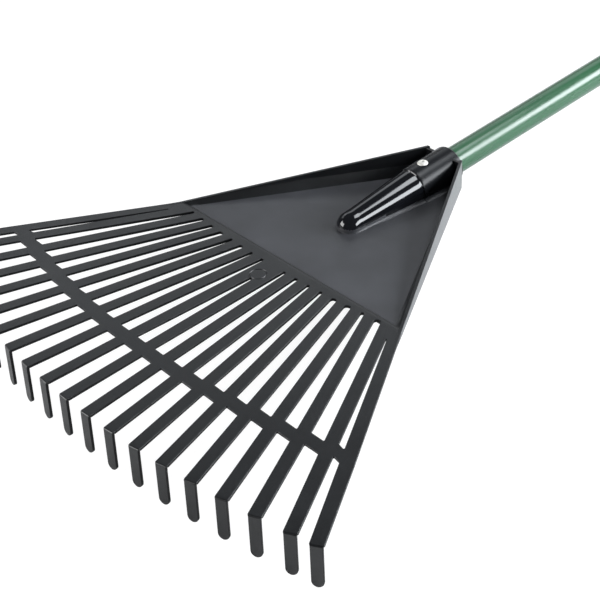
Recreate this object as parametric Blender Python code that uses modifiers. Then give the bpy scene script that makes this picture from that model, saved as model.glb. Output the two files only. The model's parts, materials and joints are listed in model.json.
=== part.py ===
"""Leaf rake: a moulded fan head with sprung tines on a painted tube handle.

The head is laid out in its own frame: the tines fan out from an apex at the
origin, they point along -Y, +X is across the rake, and Z = 0 is the top of
the tines. One empty then tips that frame until the tine tips and the end of
the handle rest on the ground, with the origin at the middle of the footprint.
"""

import math

import bmesh
import bpy
from mathutils import Matrix, Vector

# Tines. Slots and tines are counted outwards from the middle of the fan.
TINE_COUNT = 20
TINE_PITCH = math.radians(3.48)  # angle between tines at the middle of the fan
TINE_EASING = 2.84e-4  # how quickly that angle closes up towards the sides
OUTER_TUCK = math.radians(0.95)  # the last tine each side sits this much further in
TINE_WIDTH = 0.0105  # at the cross band
TINE_ROOT_WIDTH = 0.0098
FOLD_WIDTH = 0.0099
HOOK_WIDTH = 0.0087
TINE_THICKNESS = 0.0024
HOOK_LENGTH = 0.0352
HOOK_LEAN = math.radians(3.6)
FOLD_RADIUS = 0.0014  # of the outer skin of the fold

# Arcs that shape the fan: each has its centre this far behind the apex.
BAND_CENTRE = 0.4325
BAND_INNER = 0.7886
BAND_OUTER = 0.8003
FOLD_CENTRE = 0.5292
FOLD_ARC = 0.9649
ROOT_CENTRE = 0.7778
ROOT_ARC = 1.0010
SLOT_ROOT_WIDTH = 0.0030
SLOT_POINT_WIDTH = 0.0008  # where a slot that starts as a point opens
SLOT_ROOT_WIDTHS = {2: 0.0037, 5: 0.0053, 6: 0.0058, 8: 0.0056}
SLOT_ROOT_WIDTHS |= {-3: 0.0050, -5: 0.0054, -6: 0.0042, -7: 0.0042}
MIDDLE_SLOT_START = 0.2470  # clear of the gate mark in front of the step
CORNER = 0.0006
ARC_STEPS = 3

# Flexing point of each tine, just outside the cross band.
HINGE_OFFSET = 0.006
HINGE_GAP = 0.00035

# Tray between the fan and the socket.
SIDE_SLOPE = 0.588  # the straight sides: half width = offset + slope * distance
SIDE_OFFSET = 0.00848
FRONT = 0.0205
STEP = 0.2115
FLOOR_AT_APEX = -0.0069
FLOOR_SLOPE = 0.0246
FLOOR_THICKNESS = 0.0032
WALL_TOP_AT_APEX = 0.0200
WALL_TOP_SLOPE = 0.0920
WALL_THICKNESS = 0.003
COVE_WIDTH = 0.0085
COVE_HEIGHT = 0.0090
WALL_FADE = 0.262

# Socket and handle, on one sloping axis.
AXIS_AT_APEX = 0.0053
AXIS_RISE = math.atan(0.0513)
MOUTH = -0.0140
SOCKET_RADIUS = 0.0172
SOCKET_SHOULDER = -0.064
SOCKET_NECK_RADIUS = 0.0162
SOCKET_TAPER_END = -0.131
SOCKET_TIP_RADIUS = 0.0118
SOCKET_TIP = -0.1495
SOCKET_FLARE = 0.004
TUBE_RADIUS = 0.0127
TUBE_WALL = 0.0009
TUBE_LENGTH = 1.219
TUBE_START = -0.118
SWAGE_START = -0.062
SWAGE_RADIUS = 0.0094
FIT_GAP = 0.0003

# Blind rivet through the socket into the tube, and the cap on the far end.
RIVET_AT = -0.048
RIVET_HEAD_RADIUS = 0.0048
RIVET_SHANK_RADIUS = 0.0024
CAP_RADIUS = 0.0142
CAP_OVERLAP = 0.025
CAP_NOSE = 0.034
TAB_THICKNESS = 0.011
HANG_HOLE_RADIUS = 0.0048

TURN_STEPS = 32


def clear_scene():
    for obj in list(bpy.data.objects):
        bpy.data.objects.remove(obj, do_unlink=True)


def new_collection(name):
    collection = bpy.data.collections.new(name)
    bpy.context.scene.collection.children.link(collection)
    return collection


def material(name, colour, roughness, metallic=0.0):
    made = bpy.data.materials.new(name)
    made.use_nodes = True
    shader = made.node_tree.nodes["Principled BSDF"]
    shader.inputs["Base Color"].default_value = (*colour, 1.0)
    shader.inputs["Roughness"].default_value = roughness
    shader.inputs["Metallic"].default_value = metallic
    return made


def add_object(name, mesh, collection, parent, location=(0, 0, 0), rotation=(0, 0, 0)):
    obj = bpy.data.objects.new(name, mesh)
    collection.objects.link(obj)
    obj.parent = parent
    obj.location = location
    obj.rotation_euler = rotation
    return obj


def finish(obj, surface):
    obj.data.materials.clear()
    obj.data.materials.append(surface)
    obj.data.shade_smooth()
    obj.data.set_sharp_from_angle(angle=math.radians(35))


def as_helper(obj):
    obj.hide_render = True
    obj.display_type = "WIRE"
    return obj


def boolean(target, tool, operation, solver="EXACT"):
    modifier = target.modifiers.new(operation.title() + " " + tool.name, "BOOLEAN")
    modifier.operation = operation
    modifier.object = tool
    modifier.solver = solver


def turned(name, profile, collection, parent, location, rotation, closed=False):
    """A profile of (radius, height) points, top to bottom on its outer side, turned about Z."""
    mesh = bpy.data.meshes.new(name)
    outline = bmesh.new()
    corners = [outline.verts.new((radius, 0, height)) for radius, height in profile]
    pairs = list(zip(corners, corners[1:]))
    if closed:
        pairs.append((corners[-1], corners[0]))
    for start, end in pairs:
        outline.edges.new((start, end))
    outline.to_mesh(mesh)
    outline.free()
    obj = add_object(name, mesh, collection, parent, location, rotation)
    screw = obj.modifiers.new("Turn", "SCREW")
    screw.steps = TURN_STEPS
    screw.render_steps = TURN_STEPS
    screw.use_merge_vertices = True
    screw.merge_threshold = 0.00001
    return obj


def loft_mesh(name, rings):
    """Closed skin through rings of equal point count, capped at both ends."""
    shape = bmesh.new()
    rows = [[shape.verts.new(point) for point in ring] for ring in rings]
    for row, following in zip(rows, rows[1:]):
        for i in range(len(row)):
            k = (i + 1) % len(row)
            shape.faces.new((row[i], row[k], following[k], following[i]))
    shape.faces.new(rows[0])
    shape.faces.new(rows[-1])
    bmesh.ops.remove_doubles(shape, verts=shape.verts, dist=0.000001)
    bmesh.ops.recalc_face_normals(shape, faces=shape.faces)
    mesh = bpy.data.meshes.new(name)
    shape.to_mesh(mesh)
    shape.free()
    return mesh


def rounded(corners):
    """The outline through (point, radius) corners, with each corner turned into an arc."""
    outline = []
    for i, (here, radius) in enumerate(corners):
        if radius == 0:
            outline.append(here)
            continue
        before = (corners[i - 1][0] - here).normalized()
        after = (corners[(i + 1) % len(corners)][0] - here).normalized()
        half = before.angle(after) / 2
        centre = here + (before + after).normalized() * radius / math.sin(half)
        first = here + before * radius / math.tan(half) - centre
        last = here + after * radius / math.tan(half) - centre
        turn = first.angle_signed(last)
        for step in range(ARC_STEPS + 1):
            spoke = first.copy()
            spoke.rotate(Matrix.Rotation(-turn * step / ARC_STEPS, 2))
            outline.append(centre + spoke)
    return outline


def tine_angle(place):
    """Angle from the middle of the fan to the tine at this place (half-integers, + to +X)."""
    angle = TINE_PITCH * (place - TINE_EASING * place**3)
    if abs(place) > TINE_COUNT / 2 - 1:
        angle -= math.copysign(OUTER_TUCK, place)
    return angle


def reach(angle, centre, radius):
    """Distance from the apex to an arc whose centre is behind the apex."""
    return math.sqrt(radius**2 - (centre * math.sin(angle)) ** 2) - centre * math.cos(angle)


def along(angle, distance, across=0.0):
    """Point of the fan plane at a distance from the apex and a step to the side."""
    return Vector(
        (
            distance * math.sin(angle) + across * math.cos(angle),
            -distance * math.cos(angle) + across * math.sin(angle),
        )
    )


def tine_places():
    return [i - (TINE_COUNT - 1) / 2 for i in range(TINE_COUNT)]


def side_x(y):
    """Half width of the head at this Y."""
    return SIDE_OFFSET - SIDE_SLOPE * y


def slot_outline(slot):
    """Corners of the slot between two tines, from its root to the cross band."""
    before, after = tine_angle(slot - 0.5), tine_angle(slot + 0.5)
    middle = (before + after) / 2
    root = reach(middle, ROOT_CENTRE, ROOT_ARC) if slot else MIDDLE_SLOT_START
    root_width = SLOT_ROOT_WIDTHS.get(slot, SLOT_ROOT_WIDTH)
    radius = 0.45 * root_width
    opening = (TINE_ROOT_WIDTH + SLOT_POINT_WIDTH) / (after - before)
    if opening > root:
        root, root_width, radius = opening, SLOT_POINT_WIDTH, 0
    left = along(before, reach(before, BAND_CENTRE, BAND_INNER), TINE_WIDTH / 2)
    right = along(after, reach(after, BAND_CENTRE, BAND_INNER), -TINE_WIDTH / 2)
    return rounded(
        [
            (along(middle, root, -root_width / 2), radius),
            (along(middle, root, root_width / 2), radius),
            (right, CORNER),
            (left, CORNER),
        ]
    )


def fan_outline():
    """Outer edge of the fan: round the cross band and its tine stubs, then back along the step."""
    corners = []
    places = tine_places()
    for place in places:
        angle = tine_angle(place)
        band = reach(angle, BAND_CENTRE, BAND_OUTER)
        end = band + HINGE_OFFSET - TINE_THICKNESS / 2 - HINGE_GAP
        if place != places[0]:
            corners.append((along(angle, band, -TINE_WIDTH / 2), CORNER))
        corners.append((along(angle, end, -TINE_WIDTH / 2), 0))
        corners.append((along(angle, end, TINE_WIDTH / 2), 0))
        if place != places[-1]:
            corners.append((along(angle, band, TINE_WIDTH / 2), CORNER))
    for side in (1, -1):
        corners.append((Vector((side * side_x(-STEP), -STEP)), 0))
    return rounded(corners)


def flat_plate(name, outlines, thickness, collection, parent, top):
    """Mesh object of a filled 2D curve whose later outlines are holes."""
    curve = bpy.data.curves.new(name, "CURVE")
    curve.dimensions = "2D"
    curve.fill_mode = "BOTH"
    curve.extrude = thickness / 2
    for outline in outlines:
        spline = curve.splines.new("POLY")
        spline.points.add(len(outline) - 1)
        for target, point in zip(spline.points, outline):
            target.co = (point.x, point.y, 0, 1)
        spline.use_cyclic_u = True
    drawn = bpy.data.objects.new(name + " outline", curve)
    collection.objects.link(drawn)
    bpy.context.view_layer.update()
    evaluated = drawn.evaluated_get(bpy.context.evaluated_depsgraph_get())
    mesh = bpy.data.meshes.new_from_object(evaluated)
    bpy.data.objects.remove(drawn, do_unlink=True)
    weld = bmesh.new()
    weld.from_mesh(mesh)
    bmesh.ops.remove_doubles(weld, verts=weld.verts, dist=0.000001)
    bmesh.ops.recalc_face_normals(weld, faces=weld.faces)
    weld.to_mesh(mesh)
    weld.free()
    return add_object(name, mesh, collection, parent, (0, 0, top - thickness / 2))


def floor_top(y):
    return FLOOR_AT_APEX - FLOOR_SLOPE * y


def tray_floor(collection, parent):
    inset = 0.0003
    rings = []
    for y in (-FRONT, -STEP - 0.004):
        x = side_x(y) - inset
        top, bottom = floor_top(y), floor_top(y) - FLOOR_THICKNESS
        rings.append([(-x, y, bottom), (x, y, bottom), (x, y, top), (-x, y, top)])
    return as_helper(add_object("tray floor", loft_mesh("tray floor", rings), collection, parent))


def side_wall(side, collection, parent):
    """Upright side of the tray with a sloped cove at its foot, sinking into the outermost tine."""
    rings = []
    for y in (-FRONT + 0.0002, -STEP + 0.006, -STEP - 0.004):
        x, floor = side_x(y) + 0.00015, floor_top(y)
        top = WALL_TOP_AT_APEX + WALL_TOP_SLOPE * y
        bottom = floor - FLOOR_THICKNESS - 0.0001
        cove = min(floor + COVE_HEIGHT, top - 0.0008)
        section = [
            (x, bottom),
            (x, top),
            (x - WALL_THICKNESS, top),
            (x - WALL_THICKNESS - 0.0006, cove),
            (x - COVE_WIDTH, floor - 0.0004),
            (x - COVE_WIDTH, bottom + 0.0008),
        ]
        rings.append([(side * across, y, up) for across, up in section])
    y = -WALL_FADE
    x = side_x(y) - 0.0004
    buried = [(x, -0.0026), (x, -0.0003), (x - 0.002, -0.0003)]
    buried += [(x - 0.0025, -0.0006), (x - 0.003, -0.0012), (x - 0.003, -0.0024)]
    rings.append([(side * across, y, up) for across, up in buried])
    name = "side wall " + ("right" if side > 0 else "left")
    return as_helper(add_object(name, loft_mesh(name, rings), collection, parent))


def end_web(collection, parent):
    """Thin wall that closes the front of the tray round the socket."""
    floor = floor_top(-FRONT) - FLOOR_THICKNESS
    top = WALL_TOP_AT_APEX - WALL_TOP_SLOPE * FRONT - 0.0010
    mesh = bpy.data.meshes.new("end web")
    shape = bmesh.new()
    size = (2 * side_x(-FRONT) - 0.0012, 0.0026, top - floor - 0.0002)
    bmesh.ops.create_cube(shape, size=1, matrix=Matrix.Diagonal((*size, 1)))
    shape.to_mesh(mesh)
    shape.free()
    place = (0, -FRONT - 0.0015, (top + floor) / 2)
    return as_helper(add_object("end web", mesh, collection, parent, place))


def on_axis(distance):
    """Location of the point on the socket's axis, this far towards the handle from the apex."""
    return (0, distance * math.cos(AXIS_RISE), AXIS_AT_APEX + distance * math.sin(AXIS_RISE))


def along_axis():
    """Rotation that lays a turned piece's Z along the handle."""
    return (AXIS_RISE - math.pi / 2, 0, 0)


def socket_radius(distance):
    """Outer radius of the socket at a distance along its axis; the tip is a ball."""
    ball = SOCKET_TIP + SOCKET_TIP_RADIUS
    if distance > SOCKET_SHOULDER:
        return SOCKET_RADIUS
    if distance > SOCKET_TAPER_END:
        share = (SOCKET_SHOULDER - distance) / (SOCKET_SHOULDER - SOCKET_TAPER_END)
        return SOCKET_NECK_RADIUS + share * (SOCKET_TIP_RADIUS - SOCKET_NECK_RADIUS)
    if distance > ball:
        return SOCKET_TIP_RADIUS
    return math.sqrt(max(SOCKET_TIP_RADIUS**2 - (ball - distance) ** 2, 0))


def tip_stations():
    """Distances round the ball at the socket's tip, from its equator outwards."""
    ball = SOCKET_TIP + SOCKET_TIP_RADIUS
    return [ball - SOCKET_TIP_RADIUS * math.sin(math.radians(angle)) for angle in (25, 50, 70, 83)]


def socket_tube(collection, parent):
    """Round body of the socket: full size at the mouth, just inside the saddle after it."""
    inside = 0.0003
    profile = [(0, MOUTH), (SOCKET_RADIUS - 0.0008, MOUTH), (SOCKET_RADIUS, MOUTH - 0.0008)]
    profile += [(SOCKET_RADIUS, -FRONT - 0.0035), (SOCKET_RADIUS - inside, -FRONT - 0.0035)]
    for distance in (SOCKET_SHOULDER, SOCKET_SHOULDER - 0.003, SOCKET_TAPER_END, *tip_stations()):
        profile.append((socket_radius(distance) - inside, distance))
    profile.append((0, SOCKET_TIP + inside))
    tube = turned("socket tube", profile, collection, parent, on_axis(0), along_axis())
    return as_helper(tube)


def saddle(collection, parent):
    """Arched upper half of the socket with straight flanks and a flare where they meet the floor."""
    rings = []
    stations = [-FRONT - 0.0012, SOCKET_SHOULDER, SOCKET_SHOULDER - 0.003, -0.085, -0.108]
    stations += [SOCKET_TAPER_END, *tip_stations()]
    for distance in stations:
        _, y, axis = on_axis(distance)
        radius = socket_radius(distance)
        floor = floor_top(y)
        flare = SOCKET_FLARE * radius / SOCKET_RADIUS
        half = []
        for step in range(9):
            angle = math.pi / 2 * step / 8
            half.append((radius * math.sin(angle), axis + radius * math.cos(angle)))
        for step in range(1, 4):
            angle = math.pi / 2 * step / 3
            foot = min(floor + flare, axis)
            half.append((radius + flare * (1 - math.cos(angle)), foot - flare * math.sin(angle)))
        half.append((radius + flare, floor - 0.0012))
        left = [(-across, up) for across, up in reversed(half[1:])]
        rings.append([(across, y, up) for across, up in half + left])
    return as_helper(add_object("saddle", loft_mesh("saddle", rings), collection, parent))


def socket_bore(collection, parent):
    radius = TUBE_RADIUS + FIT_GAP
    end_radius = SWAGE_RADIUS + FIT_GAP
    profile = [(0, 0.02), (radius, 0.02), (radius, SWAGE_START)]
    profile += [(end_radius, TUBE_START - 0.0005), (end_radius, -0.124), (0, -0.124)]
    return as_helper(turned("bore", profile, collection, parent, on_axis(0), along_axis()))


def rivet_hole(collection, parent):
    radius = RIVET_SHANK_RADIUS + FIT_GAP
    profile = [(0, 0.026), (radius, 0.026), (radius, 0.006), (0, 0.006)]
    where, upright = on_axis(RIVET_AT), (AXIS_RISE, 0, 0)
    return as_helper(turned("rivet hole", profile, collection, parent, where, upright))


def rake_head(parts, helpers, parent, surface, rivet_cutter):
    slots = range(1 - TINE_COUNT // 2, TINE_COUNT // 2)
    outlines = [fan_outline()] + [slot_outline(slot) for slot in slots]
    head = flat_plate("rake_head", outlines, TINE_THICKNESS, parts, parent, 0.0)
    for tool in (
        tray_floor(helpers, parent),
        side_wall(1, helpers, parent),
        side_wall(-1, helpers, parent),
        end_web(helpers, parent),
        socket_tube(helpers, parent),
        saddle(helpers, parent),
    ):
        boolean(head, tool, "UNION", "MANIFOLD")
    boolean(head, socket_bore(helpers, parent), "DIFFERENCE", "MANIFOLD")
    boolean(head, rivet_cutter, "DIFFERENCE", "MANIFOLD")
    finish(head, surface)
    return head


def tine_sections(length):
    """Stations along a tine, each as (skin point, inner point, width), with points as (outward, up)."""
    half = TINE_THICKNESS / 2
    sections = []
    for degrees in (10, 35, 60, 90):
        turn = math.radians(degrees)
        back, up = -half * math.cos(turn), half * math.sin(turn)
        sections.append(((back, up), (back, -up), TINE_WIDTH))
    centre = (length - FOLD_RADIUS, half - FOLD_RADIUS)
    inner = (length - TINE_THICKNESS, -half)
    for step in range(3):
        turn = (math.pi / 2 - HOOK_LEAN) * step / 2
        skin = (centre[0] + FOLD_RADIUS * math.sin(turn), centre[1] + FOLD_RADIUS * math.cos(turn))
        sections.append((skin, inner, FOLD_WIDTH if step == 0 else HOOK_WIDTH))
    radius = HOOK_WIDTH / 2
    for degrees in (0, 30, 55, 75):
        past = radius * math.sin(math.radians(degrees))
        drop = HOOK_LENGTH - radius + past
        skin = (length + drop * math.sin(HOOK_LEAN), half - drop * math.cos(HOOK_LEAN))
        inward = (-math.cos(HOOK_LEAN), -math.sin(HOOK_LEAN))
        inner = tuple(skin[i] + TINE_THICKNESS * inward[i] for i in range(2))
        sections.append((skin, inner, 2 * math.sqrt(radius**2 - past**2)))
    return sections


def tine(place, number, parts, parent, surface):
    """Free end of one tine: a tapering strip from the flexing point, folded down into a hook."""
    angle = tine_angle(place)
    hinge = reach(angle, BAND_CENTRE, BAND_OUTER) + HINGE_OFFSET
    length = reach(angle, FOLD_CENTRE, FOLD_ARC) - hinge
    rings = []
    for skin, inner, width in tine_sections(length):
        x = width / 2
        ring = [(-x, -skin[0], skin[1]), (x, -skin[0], skin[1])]
        rings.append(ring + [(x, -inner[0], inner[1]), (-x, -inner[0], inner[1])])
    name = f"tine_{number:02d}"
    at = along(angle, hinge)
    location = (at.x, at.y, -TINE_THICKNESS / 2)
    obj = add_object(name, loft_mesh(name, rings), parts, parent, location, (0, 0, angle))
    finish(obj, surface)
    return obj


def handle_tube(parts, parent, surface, rivet_cutter):
    end = TUBE_START + TUBE_LENGTH
    inner, swaged = TUBE_RADIUS - TUBE_WALL, SWAGE_RADIUS - TUBE_WALL
    profile = [(TUBE_RADIUS, end), (TUBE_RADIUS, SWAGE_START), (SWAGE_RADIUS, TUBE_START)]
    profile += [(swaged, TUBE_START), (inner, SWAGE_START), (inner, end)]
    tube = turned("handle_tube", profile, parts, parent, on_axis(0), along_axis(), closed=True)
    boolean(tube, rivet_cutter, "DIFFERENCE")
    finish(tube, surface)
    return tube


def end_cap(parts, helpers, parent, surface):
    """Moulded cap on the far end of the tube, with a flattened nose and a hole to hang it by."""
    tube_end = TUBE_START + TUBE_LENGTH
    tip = tube_end + CAP_NOSE
    profile = [(0, tip)]
    for angle in (20, 40, 60, 75, 90):
        turn = math.radians(angle)
        profile.append((CAP_RADIUS * math.sin(turn), tip - CAP_RADIUS * (1 - math.cos(turn))))
    bore = TUBE_RADIUS + FIT_GAP
    profile += [(CAP_RADIUS, tube_end - CAP_OVERLAP), (bore, tube_end - CAP_OVERLAP)]
    profile += [(bore, tube_end + FIT_GAP), (0, tube_end + FIT_GAP)]
    cap = turned("handle_end_cap", profile, parts, parent, on_axis(0), along_axis())
    flat_length = CAP_NOSE - 0.006
    for side, name in ((1, "upper flat"), (-1, "lower flat")):
        mesh = bpy.data.meshes.new(name)
        shape = bmesh.new()
        size = (4 * CAP_RADIUS, 2 * CAP_RADIUS, 2 * flat_length)
        bmesh.ops.create_cube(shape, size=1, matrix=Matrix.Diagonal((*size, 1)))
        lift = side * (TAB_THICKNESS / 2 + CAP_RADIUS)
        bmesh.ops.translate(shape, verts=shape.verts, vec=(0, lift, tip))
        shape.to_mesh(mesh)
        shape.free()
        flat = add_object(name, mesh, helpers, parent, on_axis(0), along_axis())
        boolean(cap, as_helper(flat), "DIFFERENCE")
    profile = [(0, 0.02), (HANG_HOLE_RADIUS, 0.02), (HANG_HOLE_RADIUS, -0.02), (0, -0.02)]
    where = on_axis(tip - CAP_RADIUS)
    hole = as_helper(turned("hang hole", profile, helpers, parent, where, (AXIS_RISE, 0, 0)))
    boolean(cap, hole, "DIFFERENCE")
    finish(cap, surface)
    return cap


def rivet(parts, parent, body_surface, pin_surface):
    """Blind rivet: a domed sleeve upset inside the tube, and the mandrel left in it."""
    seat = SOCKET_RADIUS + 0.00005
    bore = 0.0014
    tube_inside = TUBE_RADIUS - TUBE_WALL
    profile = [(bore, seat + 0.0016), (0.0028, seat + 0.0014), (0.0040, seat + 0.0009)]
    profile += [(RIVET_HEAD_RADIUS, seat + 0.0002), (RIVET_HEAD_RADIUS, seat)]
    profile += [(RIVET_SHANK_RADIUS, seat), (RIVET_SHANK_RADIUS, tube_inside - 0.0006)]
    profile += [(0.0034, tube_inside - 0.0012), (0.0034, 0.0085), (0.0026, 0.0072), (bore, 0.0072)]
    where, upright = on_axis(RIVET_AT), (AXIS_RISE, 0, 0)
    body = turned("rivet_body", profile, parts, parent, where, upright, closed=True)
    finish(body, body_surface)
    profile = [(0, seat + 0.0012), (0.0011, seat + 0.0012), (0.0011, 0.0069)]
    profile += [(0.0020, 0.0069), (0.0020, 0.0052), (0.0012, 0.0044), (0, 0.0044)]
    mandrel = turned("rivet_mandrel", profile, parts, parent, where, upright)
    finish(mandrel, pin_surface)


def rest_on_ground(root, objects):
    """Tip and shift the whole rake so that it lies on the ground, centred on the origin."""
    tip_angle = tine_angle(tine_places()[-1])
    tip_reach = reach(tip_angle, FOLD_CENTRE, FOLD_ARC) + HOOK_LENGTH * math.sin(HOOK_LEAN)
    tip = Vector((-tip_reach * math.cos(tip_angle), -HOOK_LENGTH * math.cos(HOOK_LEAN)))
    far = TUBE_START + TUBE_LENGTH
    _, y, z = on_axis(far)
    heel = Vector((y + CAP_RADIUS * math.sin(AXIS_RISE), z - CAP_RADIUS * math.cos(AXIS_RISE)))
    across = heel - tip
    root.rotation_euler = (-math.atan2(across.y, across.x), 0, 0)
    bpy.context.view_layer.update()
    graph = bpy.context.evaluated_depsgraph_get()
    corners = []
    for obj in objects:
        evaluated = obj.evaluated_get(graph)
        corners += [evaluated.matrix_world @ vertex.co for vertex in evaluated.data.vertices]
    low = [min(corner[i] for corner in corners) for i in range(3)]
    high = [max(corner[i] for corner in corners) for i in range(3)]
    root.location = (-(low[0] + high[0]) / 2, -(low[1] + high[1]) / 2, -low[2])
    bpy.context.view_layer.update()


def main():
    clear_scene()
    parts = new_collection("leaf rake")
    helpers = new_collection("cutters")
    helpers.hide_render = True
    root = bpy.data.objects.new("rake_frame", None)
    parts.objects.link(root)

    black = material("moulded black", (0.022, 0.024, 0.027), 0.45)
    green = material("green enamel", (0.03, 0.16, 0.07), 0.22)
    cap_black = material("cap black", (0.015, 0.015, 0.016), 0.5)
    alloy = material("rivet alloy", (0.85, 0.84, 0.80), 0.35, 0.6)
    steel = material("mandrel steel", (0.5, 0.5, 0.5), 0.4, 1.0)

    cutter = rivet_hole(helpers, root)
    made = [rake_head(parts, helpers, root, black, cutter)]
    for number, place in enumerate(tine_places(), start=1):
        made.append(tine(place, number, parts, root, black))
    made.append(handle_tube(parts, root, green, cutter))
    made.append(end_cap(parts, helpers, root, cap_black))
    rivet(parts, root, alloy, steel)
    rest_on_ground(root, made)


main()
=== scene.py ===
"""Looks of the leaf rake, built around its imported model.

The head is laid out in its own frame, as in the model: the tines fan out from
an apex at the origin and point along -Y, +X is across the rake, and Z = 0 is
the top of the tines. HEAD carries that frame into the model's frame.
"""

import json
import math

import bmesh
import bpy
from mathutils import Euler, Matrix, Vector
from mathutils.geometry import delaunay_2d_cdt

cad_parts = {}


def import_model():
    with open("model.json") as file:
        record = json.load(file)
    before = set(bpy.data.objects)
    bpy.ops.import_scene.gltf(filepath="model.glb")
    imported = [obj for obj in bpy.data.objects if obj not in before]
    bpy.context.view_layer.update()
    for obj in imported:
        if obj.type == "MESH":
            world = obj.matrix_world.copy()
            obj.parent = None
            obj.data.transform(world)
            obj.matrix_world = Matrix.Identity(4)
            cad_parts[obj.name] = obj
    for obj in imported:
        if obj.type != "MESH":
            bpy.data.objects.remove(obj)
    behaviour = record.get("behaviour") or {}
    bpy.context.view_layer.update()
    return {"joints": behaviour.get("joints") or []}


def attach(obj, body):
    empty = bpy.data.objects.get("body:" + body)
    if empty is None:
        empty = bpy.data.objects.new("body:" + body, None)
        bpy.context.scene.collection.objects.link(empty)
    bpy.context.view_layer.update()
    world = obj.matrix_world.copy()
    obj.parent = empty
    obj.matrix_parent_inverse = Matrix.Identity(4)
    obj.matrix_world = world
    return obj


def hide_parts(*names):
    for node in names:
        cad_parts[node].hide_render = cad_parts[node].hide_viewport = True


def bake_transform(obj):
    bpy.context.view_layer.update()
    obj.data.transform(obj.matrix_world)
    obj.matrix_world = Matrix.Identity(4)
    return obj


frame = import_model()

# Tines. Slots and tines are counted outwards from the middle of the fan.
TINE_COUNT = 20
TINE_PITCH = math.radians(3.48)
TINE_EASING = 2.84e-4
OUTER_TUCK = math.radians(0.95)
TINE_WIDTH = 0.0105
TINE_ROOT_WIDTH = 0.0098
FOLD_WIDTH = 0.0099
HOOK_WIDTH = 0.0087
TINE_THICKNESS = 0.0024
ROOT_THICKNESS = 0.0029
BAND_THICKNESS = 0.0019
HOOK_LENGTH = 0.0352
HOOK_LEAN = math.radians(3.6)
HOOK_TRIM = 0.00015  # keeps the tips of the hooks inside the model's box
FOLD_RADIUS = 0.0014
EDGE_RADIUS = 0.0004  # of every moulded edge
SKIN = 0.00002  # keeps surfaces that would coincide just apart

# Arcs that shape the fan: each has its centre this far behind the apex.
BAND_CENTRE = 0.4325
BAND_INNER = 0.7886
BAND_OUTER = 0.8003
FOLD_CENTRE = 0.5292
FOLD_ARC = 0.9649
ROOT_CENTRE = 0.7778
ROOT_ARC = 1.0010
SLOT_ROOT_WIDTH = 0.0030
SLOT_POINT_WIDTH = 0.0008
SLOT_ROOT_WIDTHS = {2: 0.0037, 5: 0.0053, 6: 0.0058, 8: 0.0056}
SLOT_ROOT_WIDTHS |= {-3: 0.0050, -5: 0.0054, -6: 0.0042, -7: 0.0042}
MIDDLE_SLOT_START = 0.2470
CORNER = 0.0006
ARC_STEPS = 5
HINGE_OFFSET = 0.006
STRAIGHT_STEPS = 18
FOLD_STEPS = 5
STUB = 0.0034  # how far each stub of a tine stands out of the cross band

# Tray between the fan and the socket.
SIDE_SLOPE = 0.588
SIDE_OFFSET = 0.00848
FRONT = 0.0205
STEP = 0.2115
STEP_ROLL = 0.0048
FLOOR_AT_APEX = -0.0069
FLOOR_SLOPE = 0.0246
FLOOR_THICKNESS = 0.0032
WALL_TOP_AT_APEX = 0.0200
WALL_TOP_SLOPE = 0.0920
WALL_THICKNESS = 0.003
COVE_WIDTH = 0.0085
COVE_HEIGHT = 0.0090
WALL_FADE = 0.262
WEB_THICKNESS = 0.0026
SEAM = 0.0001  # small overlap between pieces that are joined
GATE_AT = 0.2400
GATE_RADIUS = 0.0068

# Socket and handle, on one sloping axis.
AXIS_AT_APEX = 0.0053
AXIS_RISE = math.atan(0.0513)
MOUTH = -0.0140
SOCKET_RADIUS = 0.0172
SOCKET_SHOULDER = -0.064
SOCKET_NECK_RADIUS = 0.0162
SOCKET_TAPER_END = -0.131
SOCKET_TIP_RADIUS = 0.0118
SOCKET_TIP = -0.1495
SOCKET_FLARE = 0.004
SADDLE_COVER = 0.0003  # the saddle stands this far out of the round body below it
RIM_ROUND = 0.0016
RIM_DEPTH = 0.0006
GROOVE_WIDTH = 0.0012
GROOVE_DEPTH = 0.0002
SADDLE_STEPS = 24
FLARE_STEPS = 8
MOUTH_ROUND = 0.0022
TUBE_RADIUS = 0.0127
TUBE_WALL = 0.0009
TUBE_LENGTH = 1.219
TUBE_START = -0.118
SWAGE_START = -0.062
SWAGE_RADIUS = 0.0094
FIT_GAP = 0.0003
RIVET_AT = -0.048
RIVET_HEAD_RADIUS = 0.0048
RIVET_SHANK_RADIUS = 0.0024
CAP_RADIUS = 0.0142
CAP_OVERLAP = 0.025
CAP_NOSE = 0.0339
TAB_THICKNESS = 0.011
HANG_HOLE_RADIUS = 0.0048

# Camera, in the head's frame.
CAMERA_AT = (0.64311, -0.73392, 0.56316)
CAMERA_TURN = (53.7906, 3.3099, 47.8004)
CAMERA_LENS = 73.95

# Material slots of the head after the first, in the order in which they are assigned.
POLISHED, SIDE, TRAY, BARREL, EDGE = range(1, 6)


def tine_places():
    return [i - (TINE_COUNT - 1) / 2 for i in range(TINE_COUNT)]


def tine_angle(place):
    """Angle from the middle of the fan to the tine at this place (half-integers, + to +X)."""
    angle = TINE_PITCH * (place - TINE_EASING * place**3)
    if abs(place) > TINE_COUNT / 2 - 1:
        angle -= math.copysign(OUTER_TUCK, place)
    return angle


def reach(angle, centre, radius):
    """Distance from the apex to an arc whose centre is behind the apex."""
    return math.sqrt(radius**2 - (centre * math.sin(angle)) ** 2) - centre * math.cos(angle)


def along(angle, distance, across=0.0):
    """Point of the fan plane at a distance from the apex and a step to the side."""
    return Vector(
        (
            distance * math.sin(angle) + across * math.cos(angle),
            -distance * math.cos(angle) + across * math.sin(angle),
        )
    )


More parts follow.
